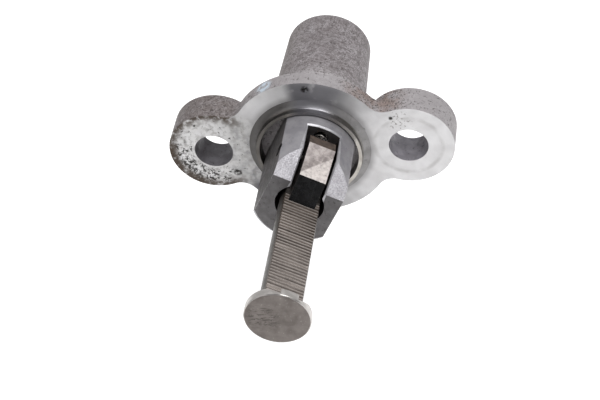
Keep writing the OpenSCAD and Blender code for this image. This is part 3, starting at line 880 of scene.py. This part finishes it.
def blackSteel(values):
    # Black oxide soaked in oil: nearly black, with a wet sheen
    material, tree, shader, place = newMaterial(values["name"], 0.2)
    oxide, shade, spots = values["colours"]
    colour = painted(tree, oxide, shade, patches(tree, place, 0.8, 0.4, 0.65, 5))
    colour = painted(tree, colour, spots, patches(tree, place, 0.4, 0.62, 0.7, 3), 0.6)
    finish(tree, shader, place, colour, values["gloss"], 0.2, 0.005)
    return material


def makePawl():
    piece = weldedPiece("ratchet_pawl", "toothedPawl", pawlValues["edgeMm"], axes=())
    finishes = {"side": blackSteel(blackValues["side"]), "top": scuffedSteel(pawlValues)}
    for part in ("front", "worn", "rear"):
        finishes[part] = blackSteel(blackValues[part])
    pick = {name: index for index, name in enumerate(finishes)}
    centres, normals, inSlot, turned = faceData(piece.data)
    y, out = inSlot[:, 1], inSlot[:, 2]
    forward, upward = -turned[:, 1], turned[:, 2]
    # forward and upward say how a face leans, y and out where it lies: the top, its worn front edge
    # with a painted highlight, the top again where a face doesn't lean sideways, the front and the
    # rear
    chosen = np.full(len(centres), pick["side"])
    chosen[(upward > 0.7) & (out > 5)] = pick["top"]
    chosen[(forward > 0.2) & (upward > 0.2) & (upward < 0.97) & (out > 4)] = pick["worn"]
    chosen[(upward > 0.7) & (out > 5) & (abs(turned[:, 0]) < 0.1)] = pick["top"]
    chosen[(forward > 0.8) & (y < -14)] = pick["front"]
    chosen[(forward < -0.1) & (upward > 0.7) & (out > 7)] = pick["rear"]
    giveFinishes(piece, finishes.values(), chosen)
    print("pawl finished with", len(piece.data.polygons), "faces")


# Turned small parts: the pin, the closing screw and its washer

smallParts = {
    # the pin is painted dark as shade in its hole, with pale spots as painted glints
    "pawl_pin": {"piece": "crossPin", "slot": "pin_steel", "edgeMm": 0.05, "gloss": (0.2, 0.32),
                 "name": "ground steel pin, painted shade and glints",
                 "colours": ("#2a2827", "#1c1a19", "#c9c9cc")},
    "cap_screw": {"piece": "closingScrew", "slot": "screw_steel", "edgeMm": 0.1,
                  "gloss": (0.3, 0.45), "name": "zinc plated steel, dulled",
                  "colours": ("#aaa8a3", "#87827b", "#5d564f")},
    "sealing_washer": {"piece": "copperWasher", "slot": "washer_copper", "edgeMm": 0.05,
                       "gloss": (0.32, 0.46), "name": "soft copper, tarnished",
                       "colours": ("#a8694a", "#7d4a35", "#5a3628")},
}


def makeSmallPart(nodeName, values):
    # Plain metal with a thin uneven tarnish and spots; the pin's dark colour is painted shade and
    # its pale spots painted glints
    piece = weldedPiece(nodeName, values["piece"], values["edgeMm"])
    material, tree, shader, place = newMaterial(values["name"], 0.9)
    metal, tarnish, spots = values["colours"]
    colour = painted(tree, metal, tarnish, patches(tree, place, 1.4, 0.4, 0.62, 5))
    colour = painted(tree, colour, spots, patches(tree, place, 0.5, 0.62, 0.7, 4), 0.7)
    finish(tree, shader, place, colour, values["gloss"], 0.2, 0.01)
    piece.data.materials.append(material)


# Springs: round wire wound in a coil, with a closed turn at each end

wireValues = {
    "colours": ("#a5a19c", "#726d69"),
    "film": (0.8, 0.4, 0.62, 4),
    "gloss": (0.22, 0.34),
    "grainMm": 0.15,
    "grainDepthMm": 0.005,
}
springs = {
    "main_spring": {"piece": "mainSpring", "slot": "spring_steel", "joint": "plunger_slide",
                    "startMm": (0, -4.28, 0), "lengthMm": 28.66, "outerMm": 5.9, "wireMm": 0.7,
                    "turns": 11, "anchorMm": (0, 24.4, 0), "keep": 0.31},
    "pawl_spring": {"piece": "pawlSpring", "slot": "spring_steel", "joint": "pawl_pivot",
                    "startMm": (3.05, -6.28, 5.2828), "lengthMm": 6.76, "outerMm": 2.3,
                    "wireMm": 0.3, "turns": 7, "anchorMm": (3.05, 0.5, 5.2828), "keep": 0.915},
}
windingDetail = {
    "steps": 40,             # points along one turn
    "sides": 12,             # points round the wire
    "closed": 1.03,          # climb of a closed end turn, in wire diameters
    "sharpDegrees": 50,
}


def wireSteel(values):
    # Drawn spring wire: smooth and bright, with an oil film
    material, tree, shader, place = newMaterial("drawn spring steel wire, oily", 0.9)
    colour = painted(tree, *values["colours"], patches(tree, place, *values["film"]))
    finish(tree, shader, place, colour, values["gloss"], values["grainMm"], values["grainDepthMm"])
    return material


def makeSpring(nodeName, values, material):
    # A point of the wire's skin: the coil's radius plus the wire's own round section, carried
    # along Y by a place that climbs slowly in the closed end turns and evenly between them
    turns, wire, length = values["turns"], values["wireMm"], values["lengthMm"]
    closed = wire*windingDetail["closed"]
    t = np.linspace(0, turns, turns*windingDetail["steps"] + 1)[:, None]
    pitch = (length - wire - 2*closed)/(turns - 2)
    climb = np.where(t < 1, closed*t, np.where(t > turns - 1, length - wire - closed*(turns - t),
                                               closed + (t - 1)*pitch)) + wire/2
    side = np.linspace(0, 2*np.pi, windingDetail["sides"], endpoint=False)[None, :]
    radius = (values["outerMm"] - wire)/2 + wire/2*np.cos(side)
    points = np.stack([radius*np.cos(2*np.pi*t), climb + wire/2*np.sin(side) + 0*radius,
                       radius*np.sin(2*np.pi*t)], axis=-1) + np.array(values["startMm"])
    rings, sides = points.shape[:2]
    a = (np.arange(rings - 1)[:, None]*sides + np.arange(sides)[None, :]).ravel()
    b = (np.arange(rings - 1)[:, None]*sides + (np.arange(sides)[None, :] + 1) % sides).ravel()
    faces = np.stack([a, a + sides, b + sides, b], axis=1).tolist()
    faces += [list(range(sides)), [rings*sides - 1 - k for k in range(sides)]]
    mesh = bpy.data.meshes.new(values["piece"])
    mesh.from_pydata((points.reshape(-1, 3)*mm).tolist(), [], faces)
    shell = bmesh.new()
    shell.from_mesh(mesh)
    bmesh.ops.recalc_face_normals(shell, faces=shell.faces)
    shell.to_mesh(mesh)
    shell.free()
    mesh.shade_smooth()
    mesh.set_sharp_from_angle(angle=math.radians(windingDetail["sharpDegrees"]))
    mesh.materials.append(material)
    piece = bpy.data.objects.new(values["piece"], mesh)
    bpy.context.scene.collection.objects.link(piece)
    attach(piece, nodes[nodeName]["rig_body"])
    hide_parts(nodeName)
    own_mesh(piece)


makeHousing(castingMm)
makePlunger(headValues)
makePawl()
for nodeName, values in smallParts.items():
    makeSmallPart(nodeName, values)
print("small parts finished")
wire = wireSteel(wireValues)
for nodeName, values in springs.items():
    makeSpring(nodeName, values, wire)
print("springs wound")


# Lights, world and floor

# lengths are in metres, powers in watts
studio = {
    "room": 0.1,             # the world's strength in front of the object
    "sweep": 0.8,            # and behind it
    "sweepRange": (-0.1, 0.7),    # directions along Y between which it rises
    "floorDepth": 0.06,      # below the plunger's axis
    "floorSize": 3.0,
    "floorColour": "#e8e8e8",
    "floorGlow": 0.5,
    "keyPlace": (0.2, -0.22, 0.65),
    "keySize": (0.5, 0.5),
    "keyPower": 5.0,
    "fillPlace": (-0.5, -0.3, 0.35),
    "fillSize": (0.4, 0.4),
    "fillPower": 1.0,
}


def softLight(name, place, size, power):
    lamp = bpy.data.lights.new(name, "AREA")
    lamp.shape = "RECTANGLE"
    lamp.size, lamp.size_y = size
    lamp.energy = power
    light = bpy.data.objects.new(name, lamp)
    light.location = place
    light.rotation_mode = "QUATERNION"
    light.rotation_quaternion = (-Vector(place)).to_track_quat("-Z", "Y")
    bpy.context.scene.collection.objects.link(light)


def makeWorld(values):
    # a white sweep behind the object and a darker room in front of it
    world = bpy.data.worlds.new("studio")
    world.use_nodes = True
    tree = world.node_tree
    direction = addNode(tree, "SeparateXYZ", {}, {0: addNode(tree, "TexCoord").outputs["Generated"]})
    front, back = values["sweepRange"]
    level = addNode(tree, "MapRange", {"interpolation_type": "SMOOTHSTEP", "From Min": front,
                                       "From Max": back, "To Min": values["room"],
                                       "To Max": values["sweep"]},
                    {"Value": direction.outputs["Y"]})
    tree.links.new(level.outputs[0], tree.nodes["Background"].inputs["Strength"])
    tree.nodes["Background"].inputs["Color"].default_value = (1, 1, 1, 1)
    bpy.context.scene.world = world


def makeFloor(values):
    # White card that takes the object's shadow; it glows, so that it is white for the camera
    # and in the metal's reflections, but throws no light on the object
    half = values["floorSize"]/2
    mesh = bpy.data.meshes.new("floor")
    corners = [(-half, -half), (half, -half), (half, half), (-half, half)]
    mesh.from_pydata([(x, y, -values["floorDepth"]) for x, y in corners], [], [(0, 1, 2, 3)])
    floor = bpy.data.objects.new("floor", mesh)
    bpy.context.scene.collection.objects.link(floor)
    material = bpy.data.materials.new("white card")
    material.use_nodes = True
    tree = material.node_tree
    card = tree.nodes["Principled BSDF"]
    card.inputs["Base Color"].default_value = linear(values["floorColour"])
    card.inputs["Roughness"].default_value = 0.9
    glow = addNode(tree, "Emission", {"Color": (1, 1, 1, 1), "Strength": values["floorGlow"]})
    path = addNode(tree, "LightPath")
    seen = addNode(tree, "Math", {"operation": "MAXIMUM"},
                   {0: path.outputs["Is Camera Ray"], 1: path.outputs["Is Glossy Ray"]})
    through = addNode(tree, "Math", {"operation": "MAXIMUM"},
                      {0: seen, 1: path.outputs["Is Transmission Ray"]})
    none = addNode(tree, "Emission", {"Strength": 0.0})
    lit = addNode(tree, "MixShader", {}, {0: through, 1: none, 2: glow})
    total = addNode(tree, "AddShader", {}, {0: card, 1: lit})
    tree.links.new(total.outputs[0], tree.nodes["Material Output"].inputs["Surface"])
    mesh.materials.append(material)


makeWorld(studio)
softLight("key", studio["keyPlace"], studio["keySize"], studio["keyPower"])
softLight("fill", studio["fillPlace"], studio["fillSize"], studio["fillPower"])
makeFloor(studio)
bpy.context.scene.view_settings.view_transform = "Standard"
print("studio ready")
